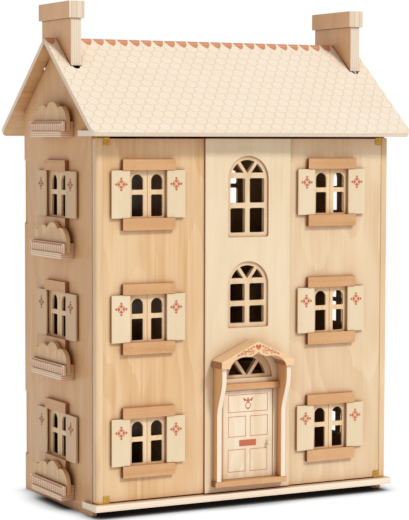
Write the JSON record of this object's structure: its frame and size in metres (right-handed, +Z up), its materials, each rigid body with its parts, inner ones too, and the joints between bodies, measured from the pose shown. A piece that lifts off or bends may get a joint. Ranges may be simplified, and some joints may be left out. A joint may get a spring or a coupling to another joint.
{
  "type": "dollhouse",
  "caption": "Wooden dollhouse in one-twelfth scale with two full-height front doors, a lifting front roof panel, shuttered windows, side balconies, a porch and chimneys.",
  "frame": {"origin": "on the ground, midway between the side walls, straight below the ridge: the bottom centre of the bounding box", "axes": "+X to the viewer's right when facing the front, +Y from the front doors towards the back panel, +Z up"},
  "size_m": [0.654, 0.4234, 0.908],
  "materials": {
    "pale_plywood": "satin",
    "side_plywood": "satin",
    "beech": "satin",
    "leaf_wood": "satin",
    "roof_print": "satin",
    "rail_print": "satin",
    "shutter_wood": "satin",
    "brass": "brushed"
  },
  "bodies": {
    "house": {"left_side_wall": "side_plywood", "right_side_wall": "side_plywood", "back_panel": "pale_plywood", "ground_floor": "pale_plywood", "upper_floors": "pale_plywood", "attic_floor": "pale_plywood", "plinth_strip": "pale_plywood", "cornice_strip": "pale_plywood", "partitions": "pale_plywood", "roof_rear_panel": "roof_print", "chimney_stacks": "pale_plywood", "chimney_caps": "pale_plywood", "wall_window_blocks": "beech", "wall_casements": "leaf_wood", "balcony_bases": "pale_plywood", "balcony_rails": "rail_print", "balcony_shrubs": "pale_plywood", "roof_hinge_fixed_leaves": "brass"},
    "roof_front": {"roof_front_panel": "roof_print", "roof_hinge_moving_leaves": "brass"},
    "left_door": {"left_facade_panel": "pale_plywood", "left_corner_stile": "pale_plywood", "left_door_pivots": "brass", "left_door_window_blocks": "beech", "left_door_casements": "leaf_wood"},
    "right_door": {"right_facade_panel": "pale_plywood", "right_corner_stile": "pale_plywood", "right_door_pivots": "brass", "centre_bay_panel": "pale_plywood", "right_door_window_blocks": "beech", "right_door_casements": "leaf_wood", "porch_canopy": "beech", "porch_brackets": "pale_plywood", "entrance_blocks": "beech"},
    "entrance_door": {"entrance_leaf": "leaf_wood", "entrance_knob": "leaf_wood"},
    "left_door_bottom_left_shutter": {"left_door_bottom_left_shutter": "shutter_wood"},
    "left_door_bottom_right_shutter": {"left_door_bottom_right_shutter": "shutter_wood"},
    "left_door_middle_left_shutter": {"left_door_middle_left_shutter": "shutter_wood"},
    "left_door_middle_right_shutter": {"left_door_middle_right_shutter": "shutter_wood"},
    "left_door_top_left_shutter": {"left_door_top_left_shutter": "shutter_wood"},
    "left_door_top_right_shutter": {"left_door_top_right_shutter": "shutter_wood"},
    "right_door_bottom_left_shutter": {"right_door_bottom_left_shutter": "shutter_wood"},
    "right_door_bottom_right_shutter": {"right_door_bottom_right_shutter": "shutter_wood"},
    "right_door_middle_left_shutter": {"right_door_middle_left_shutter": "shutter_wood"},
    "right_door_middle_right_shutter": {"right_door_middle_right_shutter": "shutter_wood"},
    "right_door_top_left_shutter": {"right_door_top_left_shutter": "shutter_wood"},
    "right_door_top_right_shutter": {"right_door_top_right_shutter": "shutter_wood"},
    "left_wall_bottom_rear_shutter": {"left_wall_bottom_rear_shutter": "shutter_wood"},
    "left_wall_bottom_front_shutter": {"left_wall_bottom_front_shutter": "shutter_wood"},
    "left_wall_middle_rear_shutter": {"left_wall_middle_rear_shutter": "shutter_wood"},
    "left_wall_middle_front_shutter": {"left_wall_middle_front_shutter": "shutter_wood"},
    "left_wall_top_rear_shutter": {"left_wall_top_rear_shutter": "shutter_wood"},
    "left_wall_top_front_shutter": {"left_wall_top_front_shutter": "shutter_wood"},
    "right_wall_bottom_rear_shutter": {"right_wall_bottom_rear_shutter": "shutter_wood"},
    "right_wall_bottom_front_shutter": {"right_wall_bottom_front_shutter": "shutter_wood"},
    "right_wall_middle_rear_shutter": {"right_wall_middle_rear_shutter": "shutter_wood"},
    "right_wall_middle_front_shutter": {"right_wall_middle_front_shutter": "shutter_wood"},
    "right_wall_top_rear_shutter": {"right_wall_top_rear_shutter": "shutter_wood"},
    "right_wall_top_front_shutter": {"right_wall_top_front_shutter": "shutter_wood"}
  },
  "joints": [
    {"name": "roof_front_lift", "type": "hinge", "parent": "house", "child": "roof_front", "pos_m": [0, 0, 0.844], "axis": [-1, 0, 0], "range_deg": [0, 62]},
    {"name": "left_door_swing", "type": "hinge", "parent": "house", "child": "left_door", "pos_m": [-0.296, -0.16, 0.02], "axis": [0, 0, -1], "range_deg": [0, 135]},
    {"name": "right_door_swing", "type": "hinge", "parent": "house", "child": "right_door", "pos_m": [0.296, -0.16, 0.02], "axis": [0, 0, 1], "range_deg": [0, 135]},
    {"name": "entrance_door_swing", "type": "hinge", "parent": "right_door", "child": "entrance_door", "pos_m": [-0.047, -0.1659, 0.048], "axis": [0, 0, -1], "range_deg": [0, 95]},
    {"name": "left_door_bottom_left_shutter_swing", "type": "hinge", "parent": "left_door", "child": "left_door_bottom_left_shutter", "pos_m": [-0.2379, -0.1717, 0.089], "axis": [0, 0, 1], "range_deg": [0, 180]},
    {"name": "left_door_bottom_right_shutter_swing", "type": "hinge", "parent": "left_door", "child": "left_door_bottom_right_shutter", "pos_m": [-0.1629, -0.1717, 0.089], "axis": [0, 0, -1], "range_deg": [0, 180]},
    {"name": "left_door_middle_left_shutter_swing", "type": "hinge", "parent": "left_door", "child": "left_door_middle_left_shutter", "pos_m": [-0.2379, -0.1717, 0.3073], "axis": [0, 0, 1], "range_deg": [0, 180]},
    {"name": "left_door_middle_right_shutter_swing", "type": "hinge", "parent": "left_door", "child": "left_door_middle_right_shutter", "pos_m": [-0.1629, -0.1717, 0.3073], "axis": [0, 0, -1], "range_deg": [0, 180]},
    {"name": "left_door_top_left_shutter_swing", "type": "hinge", "parent": "left_door", "child": "left_door_top_left_shutter", "pos_m": [-0.2379, -0.1717, 0.5256], "axis": [0, 0, 1], "range_deg": [0, 180]},
    {"name": "left_door_top_right_shutter_swing", "type": "hinge", "parent": "left_door", "child": "left_door_top_right_shutter", "pos_m": [-0.1629, -0.1717, 0.5256], "axis": [0, 0, -1], "range_deg": [0, 180]},
    {"name": "right_door_bottom_left_shutter_swing", "type": "hinge", "parent": "right_door", "child": "right_door_bottom_left_shutter", "pos_m": [0.1385, -0.1717, 0.089], "axis": [0, 0, 1], "range_deg": [0, 180]},
    {"name": "right_door_bottom_right_shutter_swing", "type": "hinge", "parent": "right_door", "child": "right_door_bottom_right_shutter", "pos_m": [0.2135, -0.1717, 0.089], "axis": [0, 0, -1], "range_deg": [0, 180]},
    {"name": "right_door_middle_left_shutter_swing", "type": "hinge", "parent": "right_door", "child": "right_door_middle_left_shutter", "pos_m": [0.1385, -0.1717, 0.3073], "axis": [0, 0, 1], "range_deg": [0, 180]},
    {"name": "right_door_middle_right_shutter_swing", "type": "hinge", "parent": "right_door", "child": "right_door_middle_right_shutter", "pos_m": [0.2135, -0.1717, 0.3073], "axis": [0, 0, -1], "range_deg": [0, 180]},
    {"name": "right_door_top_left_shutter_swing", "type": "hinge", "parent": "right_door", "child": "right_door_top_left_shutter", "pos_m": [0.1385, -0.1717, 0.5256], "axis": [0, 0, 1], "range_deg": [0, 180]},
    {"name": "right_door_top_right_shutter_swing", "type": "hinge", "parent": "right_door", "child": "right_door_top_right_shutter", "pos_m": [0.2135, -0.1717, 0.5256], "axis": [0, 0, -1], "range_deg": [0, 180]},
    {"name": "left_wall_bottom_rear_shutter_swing", "type": "hinge", "parent": "house", "child": "left_wall_bottom_rear_shutter", "pos_m": [-0.3052, 0.038, 0.086], "axis": [0, 0, 1], "range_deg": [0, 180]},
    {"name": "left_wall_bottom_front_shutter_swing", "type": "hinge", "parent": "house", "child": "left_wall_bottom_front_shutter", "pos_m": [-0.3052, -0.052, 0.086], "axis": [0, 0, -1], "range_deg": [0, 180]},
    {"name": "left_wall_middle_rear_shutter_swing", "type": "hinge", "parent": "house", "child": "left_wall_middle_rear_shutter", "pos_m": [-0.3052, 0.038, 0.3043], "axis": [0, 0, 1], "range_deg": [0, 180]},
    {"name": "left_wall_middle_front_shutter_swing", "type": "hinge", "parent": "house", "child": "left_wall_middle_front_shutter", "pos_m": [-0.3052, -0.052, 0.3043], "axis": [0, 0, -1], "range_deg": [0, 180]},
    {"name": "left_wall_top_rear_shutter_swing", "type": "hinge", "parent": "house", "child": "left_wall_top_rear_shutter", "pos_m": [-0.3052, 0.038, 0.5226], "axis": [0, 0, 1], "range_deg": [0, 180]},
    {"name": "left_wall_top_front_shutter_swing", "type": "hinge", "parent": "house", "child": "left_wall_top_front_shutter", "pos_m": [-0.3052, -0.052, 0.5226], "axis": [0, 0, -1], "range_deg": [0, 180]},
    {"name": "right_wall_bottom_rear_shutter_swing", "type": "hinge", "parent": "house", "child": "right_wall_bottom_rear_shutter", "pos_m": [0.3052, 0.038, 0.086], "axis": [0, 0, -1], "range_deg": [0, 180]},
    {"name": "right_wall_bottom_front_shutter_swing", "type": "hinge", "parent": "house", "child": "right_wall_bottom_front_shutter", "pos_m": [0.3052, -0.052, 0.086], "axis": [0, 0, 1], "range_deg": [0, 180]},
    {"name": "right_wall_middle_rear_shutter_swing", "type": "hinge", "parent": "house", "child": "right_wall_middle_rear_shutter", "pos_m": [0.3052, 0.038, 0.3043], "axis": [0, 0, -1], "range_deg": [0, 180]},
    {"name": "right_wall_middle_front_shutter_swing", "type": "hinge", "parent": "house", "child": "right_wall_middle_front_shutter", "pos_m": [0.3052, -0.052, 0.3043], "axis": [0, 0, 1], "range_deg": [0, 180]},
    {"name": "right_wall_top_rear_shutter_swing", "type": "hinge", "parent": "house", "child": "right_wall_top_rear_shutter", "pos_m": [0.3052, 0.038, 0.5226], "axis": [0, 0, -1], "range_deg": [0, 180]},
    {"name": "right_wall_top_front_shutter_swing", "type": "hinge", "parent": "house", "child": "right_wall_top_front_shutter", "pos_m": [0.3052, -0.052, 0.5226], "axis": [0, 0, 1], "range_deg": [0, 180]}
  ]
}
